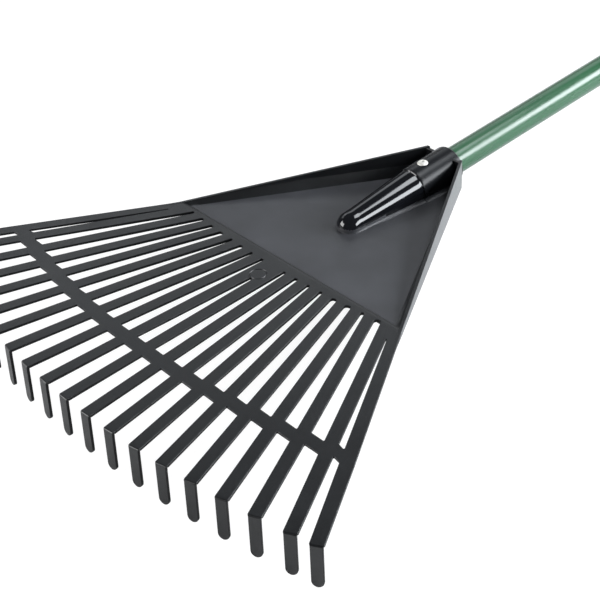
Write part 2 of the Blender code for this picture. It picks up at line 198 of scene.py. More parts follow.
def head_frame():
    """Matrix of the head's frame, from the tilt of its parts and one hinge of the model."""
    angle = tine_angle(tine_places()[-1])
    tip_reach = reach(angle, FOLD_CENTRE, FOLD_ARC) + HOOK_LENGTH * math.sin(HOOK_LEAN)
    tip = Vector((-tip_reach * math.cos(angle), -HOOK_LENGTH * math.cos(HOOK_LEAN)))
    _, y, z = on_axis(TUBE_START + TUBE_LENGTH)
    heel = Vector((y + CAP_RADIUS * math.sin(AXIS_RISE), z - CAP_RADIUS * math.cos(AXIS_RISE)))
    rise = heel - tip
    tilt = Matrix.Rotation(-math.atan2(rise.y, rise.x), 4, "X")
    first = tine_angle(tine_places()[0])
    hinge = along(first, reach(first, BAND_CENTRE, BAND_OUTER) + HINGE_OFFSET)
    hinge = Vector((hinge.x, hinge.y, -TINE_THICKNESS / 2))
    placed = Vector(next(j["pos_m"] for j in frame["joints"] if j["child"] == "tine_01"))
    return Matrix.Translation(placed - tilt @ hinge) @ tilt


def on_axis(distance):
    """The point on the socket's axis, this far towards the handle from the apex."""
    return Vector(
        (0, distance * math.cos(AXIS_RISE), AXIS_AT_APEX + distance * math.sin(AXIS_RISE))
    )


HEAD = head_frame()
ALONG_AXIS = Matrix.Translation(on_axis(0)) @ Matrix.Rotation(AXIS_RISE - math.pi / 2, 4, "X")


# ---------------------------------------------------------------- mesh tools


def new_object(name, mesh, placed=Matrix.Identity(4)):
    obj = bpy.data.objects.new(name, mesh)
    bpy.context.scene.collection.objects.link(obj)
    obj.matrix_world = HEAD @ placed
    return obj


def mesh_from(shape, name):
    bmesh.ops.recalc_face_normals(shape, faces=shape.faces)
    mesh = bpy.data.meshes.new(name)
    shape.to_mesh(mesh)
    shape.free()
    return mesh


def loft(name, rings):
    """Closed skin through rings of equal point count, capped at both ends."""
    shape = bmesh.new()
    rows = [[shape.verts.new(point) for point in ring] for ring in rings]
    for row, following in zip(rows, rows[1:]):
        for i in range(len(row)):
            k = (i + 1) % len(row)
            shape.faces.new((row[i], row[k], following[k], following[i]))
    shape.faces.new(rows[0])
    shape.faces.new(rows[-1])
    bmesh.ops.remove_doubles(shape, verts=shape.verts, dist=0.000001)
    return mesh_from(shape, name)


def turned(name, profile, steps=96, closed=False):
    """Mesh of a profile of (radius, height) points turned about Z."""
    shape = bmesh.new()
    corners = [shape.verts.new((radius, 0, height)) for radius, height in profile]
    pairs = list(zip(corners, corners[1:]))
    if closed:
        pairs.append((corners[-1], corners[0]))
    edges = [shape.edges.new(pair) for pair in pairs]
    bmesh.ops.spin(
        shape,
        geom=corners + edges,
        axis=(0, 0, 1),
        cent=(0, 0, 0),
        angle=2 * math.pi,
        steps=steps,
        use_duplicate=False,
    )
    bmesh.ops.remove_doubles(shape, verts=shape.verts, dist=0.000002)
    return mesh_from(shape, name)


def rounded(corners, steps=ARC_STEPS):
    """The outline through (point, radius) corners, with each corner turned into an arc."""
    outline = []
    for i, (here, radius) in enumerate(corners):
        if radius == 0:
            outline.append(here)
            continue
        before = (corners[i - 1][0] - here).normalized()
        after = (corners[(i + 1) % len(corners)][0] - here).normalized()
        half = before.angle(after) / 2
        centre = here + (before + after).normalized() * radius / math.sin(half)
        first = here + before * radius / math.tan(half) - centre
        last = here + after * radius / math.tan(half) - centre
        turn = first.angle_signed(last)
        for step in range(steps + 1):
            spoke = first.copy()
            spoke.rotate(Matrix.Rotation(-turn * step / steps, 2))
            outline.append(centre + spoke)
    return outline


def combine(target, tool, operation):
    """Joins or cuts with another object, which then goes."""
    modifier = target.modifiers.new(operation, "BOOLEAN")
    modifier.operation = operation
    modifier.object = tool
    modifier.solver = "MANIFOLD"
    graph = bpy.context.evaluated_depsgraph_get()
    mesh = bpy.data.meshes.new_from_object(target.evaluated_get(graph))
    target.modifiers.clear()
    target.data = mesh
    bpy.data.objects.remove(tool, do_unlink=True)


def settle(obj):
    """Moves an object's placing into its mesh, so that its bounding box lies level."""
    obj.data.transform(obj.matrix_world)
    obj.matrix_world = Matrix()


def smooth(obj, degrees=30):
    """Smooth shading with sharp edges, weighted so that flats next to small rounds stay flat."""
    obj.data.shade_smooth()
    obj.data.set_sharp_from_angle(angle=math.radians(degrees))
    weighted = obj.modifiers.new("Normals", "WEIGHTED_NORMAL")
    weighted.keep_sharp = True
    weighted.weight = 100


# ---------------------------------------------------------------- head


def side_x(y):
    """Half width of the head at this Y."""
    return SIDE_OFFSET - SIDE_SLOPE * y


def floor_top(y):
    return FLOOR_AT_APEX - FLOOR_SLOPE * y


def slot_outline(slot):
    """Corners of the slot between two tines, from its root to the cross band."""
    before, after = tine_angle(slot - 0.5), tine_angle(slot + 0.5)
    middle = (before + after) / 2
    root = reach(middle, ROOT_CENTRE, ROOT_ARC) if slot else MIDDLE_SLOT_START
    root_width = SLOT_ROOT_WIDTHS.get(slot, SLOT_ROOT_WIDTH)
    radius = 0.45 * root_width
    opening = (TINE_ROOT_WIDTH + SLOT_POINT_WIDTH) / (after - before)
    if opening > root:
        root, root_width, radius = opening, SLOT_POINT_WIDTH, 0
    left = along(before, reach(before, BAND_CENTRE, BAND_INNER), TINE_WIDTH / 2)
    right = along(after, reach(after, BAND_CENTRE, BAND_INNER), -TINE_WIDTH / 2)
    return rounded(
        [
            (along(middle, root, -root_width / 2), radius),
            (along(middle, root, root_width / 2), radius),
            (right, CORNER),
            (left, CORNER),
        ]
    )


def fan_outline():
    """Outer edge of the fan: round the cross band and its tine stubs, then back along the step."""
    corners = []
    places = tine_places()
    for place in places:
        angle = tine_angle(place)
        band = reach(angle, BAND_CENTRE, BAND_OUTER)
        if place != places[0]:
            corners.append((along(angle, band, -TINE_WIDTH / 2), CORNER))
        corners.append((along(angle, band + STUB, -TINE_WIDTH / 2), 0))
        corners.append((along(angle, band + STUB, TINE_WIDTH / 2), 0))
        if place != places[-1]:
            corners.append((along(angle, band, TINE_WIDTH / 2), CORNER))
    for side in (1, -1):
        corners.append((Vector((side * side_x(-STEP), -STEP)), 0))
    return rounded(corners)


def fan_thickness(distance):
    """Thickness of the fan, which thins from the roots of the tines to the cross band."""
    share = (distance - STEP) / (reach(0, BAND_CENTRE, BAND_INNER) - STEP)
    return ROOT_THICKNESS + min(max(share, 0), 1) * (BAND_THICKNESS - ROOT_THICKNESS)


def inset(outline, distance):
    """The outline moved into the plastic, which lies on its left."""
    moved = []
    for i, here in enumerate(outline):
        before = (here - outline[i - 1]).normalized()
        after = (outline[(i + 1) % len(outline)] - here).normalized()
        left = Vector((-before.y, before.x)) + Vector((-after.y, after.x))
        moved.append(here + left * distance / (1 + before.dot(after)))
    return moved


def inside(point, outline):
    crossings = 0
    for i, start in enumerate(outline):
        end = outline[i - 1]
        if (start.y > point.y) != (end.y > point.y):
            share = (point.y - start.y) / (end.y - start.y)
            crossings += point.x < start.x + share * (end.x - start.x)
    return crossings % 2 == 1


def fill(outlines):
    """Triangles, as corner numbers, of the plate between its outer edge and its slots."""
    points = [point for outline in outlines for point in outline]
    edges = []
    for outline in outlines:
        first = len(edges)
        edges += [(first + i, first + (i + 1) % len(outline)) for i in range(len(outline))]
    found = delaunay_2d_cdt(points, edges, [], 0, 1e-7)
    original = [numbers[0] for numbers in found[3]]
    triangles = []
    for face in found[2]:
        middle = sum((found[0][i] for i in face), Vector((0, 0))) / 3
        if sum(inside(middle, outline) for outline in outlines) == 1:
            triangles.append([original[i] for i in face])
    return triangles


def fan_plate():
    """The slotted plate, with rounded edges along every slot."""
    slots = range(1 - TINE_COUNT // 2, TINE_COUNT // 2)
    outlines = [fan_outline()] + [slot_outline(slot) for slot in slots]
    turns = [math.radians(degrees) for degrees in (0, 30, 60, 90)]
    levels = [(EDGE_RADIUS * (1 - math.sin(a)), EDGE_RADIUS * (1 - math.cos(a)), 0) for a in turns]
    levels += [(step_in, depth, 1) for step_in, depth, _ in reversed(levels)]
    shape = bmesh.new()
    rows = [[] for _ in levels]
    for outline in outlines:
        rings = []
        for step_in, depth, under in levels:
            ring = []
            for point in inset(outline, step_in):
                z = depth - fan_thickness(point.length) if under else -depth
                ring.append(shape.verts.new((point.x, point.y, z)))
            rings.append(ring)
        for ring, below in zip(rings, rings[1:]):
            for i in range(len(ring)):
                k = (i + 1) % len(ring)
                shape.faces.new((ring[i], ring[k], below[k], below[i]))
        for row, ring in zip(rows, rings):
            row += ring
    for corners in fill([inset(outline, EDGE_RADIUS) for outline in outlines]):
        shape.faces.new([rows[0][i] for i in corners])
        shape.faces.new([rows[-1][i] for i in reversed(corners)])
    return new_object("rake_head_moulding", mesh_from(shape, "fan"))


def step_roll():
    """Cutter that rolls the plate's edge down to the tray floor."""
    clear = 0.002
    half = side_x(-STEP - STEP_ROLL) + 0.02
    drop = -floor_top(-STEP) + SEAM
    profile = [(STEP - clear, clear), (STEP - clear, -drop)]
    steps = 8
    for step in range(steps + 1):
        turn = math.pi / 2 * step / steps
        out = STEP + STEP_ROLL * (1 - math.cos(turn))
        profile.append((out, SKIN - drop * (1 - math.sin(turn))))
    profile.append((STEP + STEP_ROLL, clear))
    rings = [[(x, -y, z) for y, z in profile] for x in (-half, half)]
    return new_object("step roll", loft("step roll", rings))


def tray_floor():
    side_gap = 0.0003
    rings = []
    for y in (-FRONT, -STEP - 0.004):
        x = side_x(y) - side_gap
        top, bottom = floor_top(y), floor_top(y) - FLOOR_THICKNESS
        rings.append([(-x, y, bottom), (x, y, bottom), (x, y, top), (-x, y, top)])
    return new_object("tray floor", loft("tray floor", rings))


def side_wall(side):
    """Upright side of the tray with a sloped cove at its foot, sinking into the outermost tine."""
    rings = []
    stations = [-FRONT + 0.0002, -0.07, -0.12, -0.17, -STEP + 0.006, -STEP - 0.004]
    for y in stations:
        x, floor = side_x(y) + 0.00015, floor_top(y)
        top = WALL_TOP_AT_APEX + WALL_TOP_SLOPE * y
        cove = min(floor + COVE_HEIGHT, top - 0.0009)
        soft = min(EDGE_RADIUS, 0.3 * (top - cove))
        corners = [
            (Vector((x, floor - FLOOR_THICKNESS - SEAM)), EDGE_RADIUS),
            (Vector((x, top)), soft),
            (Vector((x - WALL_THICKNESS, top)), soft),
            (Vector((x - WALL_THICKNESS - 0.0006, cove)), 0.0006 * soft / EDGE_RADIUS),
            (Vector((x - COVE_WIDTH, floor - 0.0004)), 0),
            (Vector((x - COVE_WIDTH, floor - 0.0024)), 0),
        ]
        rings.append([(side * p.x, y, p.y) for p in rounded(corners, 3)])
    y = -WALL_FADE
    x = side_x(y) - 0.0004
    soft = 0.0002
    corners = [
        (Vector((x, -0.0022)), soft),
        (Vector((x, -0.0003)), soft),
        (Vector((x - 0.0020, -0.0003)), soft),
        (Vector((x - 0.0025, -0.0007)), soft),
        (Vector((x - 0.0030, -0.0012)), 0),
        (Vector((x - 0.0030, -0.0022)), 0),
    ]
    rings.append([(side * p.x, y, p.y) for p in rounded(corners, 3)])
    return new_object("side wall", loft("side wall", rings))


def end_web():
    """Thin wall with a rounded top that closes the front of the tray round the socket."""
    floor = floor_top(-FRONT) - FLOOR_THICKNESS + SEAM
    top = WALL_TOP_AT_APEX - WALL_TOP_SLOPE * FRONT - 0.0010
    half = side_x(-FRONT) - 0.0006
    outer = -FRONT - 2 * SEAM
    inner = outer - WEB_THICKNESS
    soft = 0.0007
    corners = [
        (Vector((inner, floor)), 0),
        (Vector((outer, floor)), 0),
        (Vector((outer, top)), soft),
        (Vector((inner, top)), soft),
    ]
    section = rounded(corners, 4)
    rings = [[(x, p.x, p.y) for p in section] for x in (-half, half)]
    return new_object("end web", loft("end web", rings))


def socket_radius(distance):
    """Outer radius of the socket at a distance along its axis; the tip is a ball."""
    ball = SOCKET_TIP + SOCKET_TIP_RADIUS
    if distance > SOCKET_SHOULDER:
        rim = max(SOCKET_SHOULDER + RIM_ROUND - distance, 0) / RIM_ROUND
        return SOCKET_RADIUS - RIM_DEPTH * rim**2
    if distance > SOCKET_SHOULDER - GROOVE_WIDTH:
        return SOCKET_NECK_RADIUS - GROOVE_DEPTH
    if distance > SOCKET_TAPER_END:
        share = (SOCKET_SHOULDER - distance) / (SOCKET_SHOULDER - SOCKET_TAPER_END)
        return SOCKET_NECK_RADIUS + share * (SOCKET_TIP_RADIUS - SOCKET_NECK_RADIUS)
    if distance > ball:
        return SOCKET_TIP_RADIUS
    return math.sqrt(max(SOCKET_TIP_RADIUS**2 - (ball - distance) ** 2, 0))


def socket_stations():
    """Distances along the socket, close together round its shoulder and tip."""
    ball = SOCKET_TIP + SOCKET_TIP_RADIUS
    stations = [SOCKET_SHOULDER + RIM_ROUND, SOCKET_SHOULDER + 0.0005, SOCKET_SHOULDER]
    stations += [SOCKET_SHOULDER - 0.0008, SOCKET_SHOULDER - 0.0016, SOCKET_SHOULDER - 0.003]
    stations += [-0.085, -0.108, SOCKET_TAPER_END, -0.1345]
    for degrees in (0, 12, 24, 36, 48, 58, 67, 75, 81, 86):
        stations.append(ball - SOCKET_TIP_RADIUS * math.sin(math.radians(degrees)))
    return stations


def socket_tube():
    """Round body of the socket: full size at the mouth, just inside the saddle after it."""
    saddle_start = -FRONT - 0.0035
    profile = [(0, MOUTH)]
    for degrees in (0, 20, 40, 60, 75, 90):
        turn = math.radians(degrees)
        inward, back = MOUTH_ROUND * (1 - math.sin(turn)), MOUTH_ROUND * (1 - math.cos(turn))
        profile.append((SOCKET_RADIUS - inward, MOUTH - back))
    profile += [(SOCKET_RADIUS, saddle_start), (SOCKET_RADIUS - SADDLE_COVER, saddle_start)]
    for distance in socket_stations():
        profile.append((socket_radius(distance) - SADDLE_COVER, distance))
    profile.append((0, SOCKET_TIP + SADDLE_COVER))
    return new_object("socket tube", turned("socket tube", profile), ALONG_AXIS)


def saddle():
    """Arched upper half of the socket, with straight flanks and a flare at the floor."""
    rings = []
    for distance in [-FRONT - 0.0012, -0.045] + socket_stations():
        _, y, axis = on_axis(distance)
        radius = socket_radius(distance)
        floor = floor_top(y)
        flare = SOCKET_FLARE * radius / SOCKET_RADIUS
        foot = min(floor + flare, axis)
        half = []
        for step in range(SADDLE_STEPS + 1):
            angle = math.pi / 2 * step / SADDLE_STEPS
            half.append((radius * math.sin(angle), axis + radius * math.cos(angle)))
        for step in range(1, FLARE_STEPS + 1):
            angle = math.pi / 2 * step / FLARE_STEPS
            half.append((radius + flare * (1 - math.cos(angle)), foot - flare * math.sin(angle)))
        half.append((radius + flare, floor - 0.0012))
        left = [(-across, up) for across, up in reversed(half[1:])]
        rings.append([(across, y, up) for across, up in half + left])
    return new_object("saddle", loft("saddle", rings))


def socket_bore():
    """Cutter for the bore, which narrows as the end of the tube does."""
    radius = TUBE_RADIUS + FIT_GAP
    end_radius = SWAGE_RADIUS + FIT_GAP
    start, end = 0.02, TUBE_START - 0.006
    profile = [(0, start), (radius, start), (radius, SWAGE_START)]
    profile += [(end_radius, TUBE_START - 0.0005), (end_radius, end), (0, end)]
    return new_object("bore", turned("bore", profile), ALONG_AXIS)


def rivet_place():
    return Matrix.Translation(on_axis(RIVET_AT)) @ Matrix.Rotation(AXIS_RISE, 4, "X")


def rivet_hole():
    radius = RIVET_SHANK_RADIUS + FIT_GAP
    top, bottom = 0.026, 0.006
    profile = [(0, top), (radius, top), (radius, bottom), (0, bottom)]
    return new_object("rivet hole", turned("rivet hole", profile, 32), rivet_place())


def gate_groove():
    """Ring-shaped witness of the injection gate, cut into the plate."""
    low, level, high = -0.0005, 0.00003, 0.001
    wide, narrow = 0.0006, 0.0002
    ring = [(GATE_RADIUS - wide, high), (GATE_RADIUS - wide, level)]
    ring += [(GATE_RADIUS - narrow, low), (GATE_RADIUS + narrow, low)]
    ring += [(GATE_RADIUS + wide, level), (GATE_RADIUS + wide, high)]
    at = Matrix.Translation((0, -GATE_AT, 0))
    return new_object("gate groove", turned("gate groove", ring, 64, closed=True), at)


def rake_head():
    head = fan_plate()
    combine(head, step_roll(), "DIFFERENCE")
    for tool in (tray_floor(), side_wall(1), side_wall(-1), end_web(), socket_tube(), saddle()):
        combine(head, tool, "UNION")
    for tool in (socket_bore(), rivet_hole(), gate_groove()):
        combine(head, tool, "DIFFERENCE")
    smooth(head)
    return head


# ---------------------------------------------------------------- tines


def tine_stations(start, length):
    """Sections along a tine: (skin point, inner point, width), with points as (outward, up)."""
    stations = []
    straight = length - FOLD_RADIUS
    for step in range(STRAIGHT_STEPS + 1):
        share = step / STRAIGHT_STEPS
        out = start + share * (straight - start)
        rise = SKIN * (1 - share)
        thick = BAND_THICKNESS + share * (TINE_THICKNESS - BAND_THICKNESS)
        inner = min(out, length - TINE_THICKNESS - 0.0004)
        width = TINE_WIDTH + share * (FOLD_WIDTH - TINE_WIDTH) + 2 * rise
        stations.append(((out, rise), (inner, rise - thick), width))
    corner = (length - TINE_THICKNESS, -TINE_THICKNESS)
    for step in range(1, FOLD_STEPS + 1):
        turn = (math.pi / 2 - HOOK_LEAN) * step / FOLD_STEPS
        out = straight + FOLD_RADIUS * math.sin(turn)
        up = FOLD_RADIUS * (math.cos(turn) - 1)
        width = FOLD_WIDTH + (HOOK_WIDTH - FOLD_WIDTH) * step / FOLD_STEPS
        stations.append(((out, up), corner, width))
    radius = HOOK_WIDTH / 2
    for drop in (0.006, 0.012, 0.020, 0.028):
        stations.append((*hook_section(length, drop), HOOK_WIDTH))
    for degrees in (0, 14, 27, 39, 50, 60, 69, 77, 84):
        past = radius * math.sin(math.radians(degrees))
        width = 2 * math.sqrt(radius**2 - past**2)
        drop = HOOK_LENGTH - HOOK_TRIM - radius + past
        stations.append((*hook_section(length, drop), width))
    return stations


def hook_section(length, drop):
    """Skin and inner points of the hook this far below the top of the fold."""
    skin = (length + drop * math.sin(HOOK_LEAN), -drop * math.cos(HOOK_LEAN))
    inner = (
        skin[0] - TINE_THICKNESS * math.cos(HOOK_LEAN),
        skin[1] - TINE_THICKNESS * math.sin(HOOK_LEAN),
    )
    return skin, inner


def tine_ring(skin, inner, width):
    """Rounded rectangle between the skin and inner points of a section."""
    skin, inner = Vector(skin), Vector(inner)
    depth = (inner - skin).length
    across = width / 2
    radius = min(EDGE_RADIUS, 0.4 * across, 0.45 * depth)
    corners = [(-across, 0), (across, 0), (across, depth), (-across, depth)]
    outline = rounded([(Vector(corner), radius) for corner in corners], 3)
    ring = []
    for point in outline:
        place = skin + (inner - skin) * (point.y / depth)
        ring.append((point.x, -place.x, place.y))
    return ring


def tine(place, number):
    """Free end of one tine: a tapering strip from the cross band, folded down into a hook."""
    angle = tine_angle(place)
    band = reach(angle, BAND_CENTRE, BAND_OUTER)
    length = reach(angle, FOLD_CENTRE, FOLD_ARC)
    stations = tine_stations(band - 0.0006, length)
    name = f"tine_{number:02d}"
    mesh = loft(name, [tine_ring(*station) for station in stations])
    obj = new_object(name + "_moulding", mesh, Matrix.Rotation(angle, 4, "Z"))
    smooth(obj, 50)
    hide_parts(name)
    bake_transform(obj)
    return obj


# ---------------------------------------------------------------- handle


def handle_tube():
    end = TUBE_START + TUBE_LENGTH
    inner, swaged = TUBE_RADIUS - TUBE_WALL, SWAGE_RADIUS - TUBE_WALL
    profile = [(TUBE_RADIUS, end), (TUBE_RADIUS, SWAGE_START), (SWAGE_RADIUS, TUBE_START)]
    profile += [(swaged, TUBE_START), (inner, SWAGE_START), (inner, end)]
    tube = new_object("handle_paint", turned("handle", profile, 128, closed=True), ALONG_AXIS)
    combine(tube, rivet_hole(), "DIFFERENCE")
    smooth(tube)
    return tube


def end_cap():
    """Moulded cap on the far end of the tube, with a flattened nose and a hole to hang it by."""
    tube_end = TUBE_START + TUBE_LENGTH
    tip = tube_end + CAP_NOSE
    profile = [(0, tip)]
    steps = 12
    for step in range(1, steps + 1):
        turn = math.pi / 2 * step / steps
        profile.append((CAP_RADIUS * math.sin(turn), tip - CAP_RADIUS * (1 - math.cos(turn))))
    bore = TUBE_RADIUS + FIT_GAP
    lip = tube_end - CAP_OVERLAP
    chamfer = 0.0005
    profile += [(CAP_RADIUS, lip + chamfer), (CAP_RADIUS - chamfer, lip), (bore, lip)]
    profile += [(bore, tube_end + FIT_GAP), (0, tube_end + FIT_GAP)]
    cap = new_object("end_cap_moulding", turned("cap", profile), ALONG_AXIS)
    flat_length = CAP_NOSE - 0.006
    for side in (1, -1):
        shape = bmesh.new()
        size = (4 * CAP_RADIUS, 2 * CAP_RADIUS, 2 * flat_length)
        bmesh.ops.create_cube(shape, size=1, matrix=Matrix.Diagonal((*size, 1)))
        lift = side * (TAB_THICKNESS / 2 + CAP_RADIUS)
        bmesh.ops.translate(shape, verts=shape.verts, vec=(0, lift, tip))
        combine(cap, new_object("flat", mesh_from(shape, "flat"), ALONG_AXIS), "DIFFERENCE")
    reach_through = 0.02
    profile = [(0, reach_through), (HANG_HOLE_RADIUS, reach_through)]
    profile += [(HANG_HOLE_RADIUS, -reach_through), (0, -reach_through)]
    where = Matrix.Translation(on_axis(tip - CAP_RADIUS)) @ Matrix.Rotation(AXIS_RISE, 4, "X")
    combine(cap, new_object("hang hole", turned("hang hole", profile, 48), where), "DIFFERENCE")
    bevel = cap.modifiers.new("Edges", "BEVEL")
    bevel.width = 0.0006
    bevel.segments = 3
    bevel.limit_method = "ANGLE"
    bevel.angle_limit = math.radians(40)
    bevel.use_clamp_overlap = True
    smooth(cap)
    return cap


def rivet():
    """Blind rivet: a domed sleeve upset inside the tube, and the mandrel left in it."""
    seat = SOCKET_RADIUS + 0.00005
    bore = 0.0014
    upset = 0.0034
    tube_inside = TUBE_RADIUS - TUBE_WALL
    dome = [(bore, 0.0016), (0.0022, 0.00155), (0.0030, 0.00137), (0.0037, 0.00108)]
    dome += [(0.0043, 0.0007), (0.00468, 0.0003), (RIVET_HEAD_RADIUS, 0.0001)]
    profile = [(radius, seat + height) for radius, height in dome]
    profile += [(RIVET_HEAD_RADIUS, seat), (RIVET_SHANK_RADIUS, seat)]
    profile += [(RIVET_SHANK_RADIUS, tube_inside - 0.0006), (upset, tube_inside - 0.0012)]
    profile += [(upset, 0.0085), (0.0026, 0.0072), (bore, 0.0072)]
    body = new_object("rivet_sleeve", turned("sleeve", profile, 48, closed=True), rivet_place())
    smooth(body)
    stem, knob = 0.0011, 0.0020
    profile = [(0, seat + 0.0012), (0.0009, seat + 0.0012), (stem, seat + 0.0010)]
    profile += [(stem, 0.0069), (knob, 0.0069), (knob, 0.0052), (0.0012, 0.0044), (0, 0.0044)]
    mandrel = new_object("rivet_pin", turned("pin", profile, 32), rivet_place())
    smooth(mandrel)
    return body, mandrel


# ---------------------------------------------------------------- materials


def new_material(name):
    made = bpy.data.materials.new(name)
    made.use_nodes = True
    return made, made.node_tree.nodes, made.node_tree.links


def noise(nodes, links, scale, detail=2.0, stretch=(1, 1, 1), roughness=0.5):
    """Noise fixed to the piece, in object coordinates."""
    coordinates = nodes.new("ShaderNodeTexCoord")
    mapping = nodes.new("ShaderNodeMapping")
    mapping.inputs["Scale"].default_value = stretch
    made = nodes.new("ShaderNodeTexNoise")
    made.inputs["Scale"].default_value = scale
    made.inputs["Detail"].default_value = detail
    made.inputs["Roughness"].default_value = roughness
    links.new(coordinates.outputs["Object"], mapping.inputs["Vector"])
    links.new(mapping.outputs["Vector"], made.inputs["Vector"])
    return made.outputs["Fac"]


def ramp(nodes, links, source, stops):
    """Colour ramp through (position, colour) stops."""
    made = nodes.new("ShaderNodeValToRGB")
    elements = made.color_ramp.elements
    while len(elements) < len(stops):
        elements.new(0.5)
    for element, (position, colour) in zip(elements, stops):
        element.position = position
        element.color = (*colour, 1.0)
    links.new(source, made.inputs["Fac"])
    return made.outputs["Color"]


def grey(value):
    return (value, value, value)


def grain_bump(nodes, links, shader, height, strength):
    """Shallow bump that follows a noise."""
    bump = nodes.new("ShaderNodeBump")
    bump.inputs["Strength"].default_value = strength
    bump.inputs["Distance"].default_value = 0.0002
    links.new(height, bump.inputs["Height"])
    links.new(bump.outputs["Normal"], shader.inputs["Normal"])


def moulded(name, base, roughness, grain, depth, cloud, specular=0.5):
    """Moulded plastic: mottled colour, fine spark-eroded grain and uneven gloss."""
    made, nodes, links = new_material(name)
    shader = nodes["Principled BSDF"]
    shader.inputs["Specular IOR Level"].default_value = specular
    dark = [0.75 * c for c in base]
    light = [1.3 * c for c in base]
    patches = noise(nodes, links, cloud, 4.0)
    links.new(ramp(nodes, links, patches, [(0.3, dark), (0.7, light)]), shader.inputs["Base Color"])
    gloss = [(0.25, grey(roughness * 0.88)), (0.75, grey(roughness * 1.12))]
    links.new(ramp(nodes, links, patches, gloss), shader.inputs["Roughness"])
    grain_bump(nodes, links, shader, noise(nodes, links, grain, 3.0), depth)
    return made


def enamel():
    """Glossy green enamel on steel tube, with faint flow marks and scuffs along it."""
    made, nodes, links = new_material("green enamel")
    shader = nodes["Principled BSDF"]
    patches = noise(nodes, links, 14.0, 3.0)
    tones = [(0.3, (0.017, 0.080, 0.034)), (0.7, (0.022, 0.094, 0.042))]
    links.new(ramp(nodes, links, patches, tones), shader.inputs["Base Color"])
    scuffs = noise(nodes, links, 60.0, 6.0, stretch=(1, 1, 0.12))
    rough = ramp(nodes, links, scuffs, [(0.45, grey(0.24)), (0.75, grey(0.34))])
    links.new(rough, shader.inputs["Roughness"])
    shader.inputs["IOR"].default_value = 1.6
    grain_bump(nodes, links, shader, noise(nodes, links, 420.0, 2.0), 0.06)
    return made


def metal(name, colour, roughness, metallic):
    """Metal with small dull spots."""
    made, nodes, links = new_material(name)
    shader = nodes["Principled BSDF"]
    spots = noise(nodes, links, 900.0, 3.0)
    dull = [0.8 * c for c in colour]
    links.new(ramp(nodes, links, spots, [(0.35, dull), (0.6, colour)]), shader.inputs["Base Color"])
    rough = ramp(nodes, links, spots, [(0.3, grey(roughness)), (0.7, grey(roughness * 1.3))])
    links.new(rough, shader.inputs["Roughness"])
    shader.inputs["Metallic"].default_value = metallic
    return made


def assign(obj, *materials):
    obj.data.materials.clear()
    for made in materials:
        obj.data.materials.append(made)


def sort_faces(head):
    """Gives faces of the head their slots; all other faces stay in the first, satin one.

    The round of the socket is polished up to its shoulder and barrel black beyond it. The
    outer sides of the walls are smooth, with a lighter black that is a painted reflection of
    the floor. The edges of the slots and tines have a darker, duller black, painted shade for
    sides turned from the light. The tray's floor and the flare round the socket have the
    tray's lighter black and rougher gloss, painted light on the deck and its shaded corners.
    """
    on_surface = 0.0004
    shoulder = SOCKET_SHOULDER + 0.0003
    to_head = HEAD.inverted() @ head.matrix_world
    to_axis = ALONG_AXIS.inverted() @ to_head
    for face in head.data.polygons:
        at, normal = to_head @ face.center, to_head.to_3x3() @ face.normal
        local = to_axis @ face.center
        on_socket = SOCKET_TIP - 0.001 < local.z < MOUTH + 0.001
        out = math.hypot(local.x, local.y) - socket_radius(local.z)
        above_floor = at.z - floor_top(at.y)
        if on_socket and out < on_surface and above_floor > SOCKET_FLARE * 0.9:
            face.material_index = POLISHED if local.z < shoulder else BARREL
        # outer sides of the walls: smoother finish and a lighter black, a painted reflection of the
        # floor
        elif abs(normal.x) > 0.8 and abs(at.x) > side_x(at.y) - 0.0009 and at.y > -WALL_FADE:
            face.material_index = SIDE
        # slot edges: painted shade, a darker black for sides turned from the light
        elif at.y < -STEP - 0.002 and abs(normal.z) < 0.3:
            face.material_index = EDGE
        # flare round the socket and the tray's floor: rougher gloss and a lighter black, painted
        # light
        elif on_socket and out < 1.5 * SOCKET_FLARE and above_floor < SOCKET_FLARE:
            face.material_index = TRAY
        elif normal.z > 0.9 and -STEP < at.y and abs(above_floor) < on_surface:
            face.material_index = TRAY


def paint_shade_on_edges(piece):
    """Puts the two long edges of a tine in its second slot, whose darker black is painted shade on
    the sides.
    """
    for face in piece.data.polygons:
        if abs(face.normal.x) > 0.7:
            face.material_index = 1


# ---------------------------------------------------------------- build

GRAIN = (2600.0, 0.35, 25.0)  # of the mould's plain faces: grain, depth and cloud

barrel_black = moulded("barrel black", (0.0065, 0.0070, 0.0085), 0.28, 700.0, 0.05, 30.0, 0.2)
# painted shade: a darker, less shiny black for tine sides and slot edges turned from the light
edge_black_painted_shade = moulded("edges with painted shade", (0.0035, 0.0037, 0.0042), 0.45, *GRAIN, 0.2)
# painted light: a much lighter black than the rest of the moulding, lifting the tray's floor and
# its shaded corners; its gloss is rougher too
tray_black_painted_light = moulded("tray black painted lighter", (0.039, 0.040, 0.045), 0.50, *GRAIN)
satin = moulded("black polypropylene", (0.0045, 0.0050, 0.0060), 0.36, *GRAIN)
polished = moulded("polished black", (0.0040, 0.0045, 0.0060), 0.09, 700.0, 0.03, 30.0)
# painted reflection: a lighter black than the rest of the moulding, standing in for the floor that
# the walls' outer sides reflect
smooth_side_painted_light = moulded("smooth black painted lighter", (0.030, 0.030, 0.032), 0.09, 900.0, 0.03, 40.0)
rubbery = moulded("black cap plastic", (0.012, 0.012, 0.013), 0.5, 1500.0, 0.3, 60.0)

head = rake_head()
settle(head)
assign(head, satin, polished, smooth_side_painted_light, tray_black_painted_light, barrel_black, edge_black_painted_shade)
sort_faces(head)
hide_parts("rake_head")
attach(head, "rake")

for number, place in enumerate(tine_places(), start=1):
    piece = tine(place, number)
    assign(piece, satin, edge_black_painted_shade)
    paint_shade_on_edges(piece)

tube = handle_tube()
assign(tube, enamel())
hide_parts("handle_tube")
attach(tube, "rake")

cap = end_cap()
assign(cap, rubbery)
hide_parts("handle_end_cap")
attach(cap, "rake")

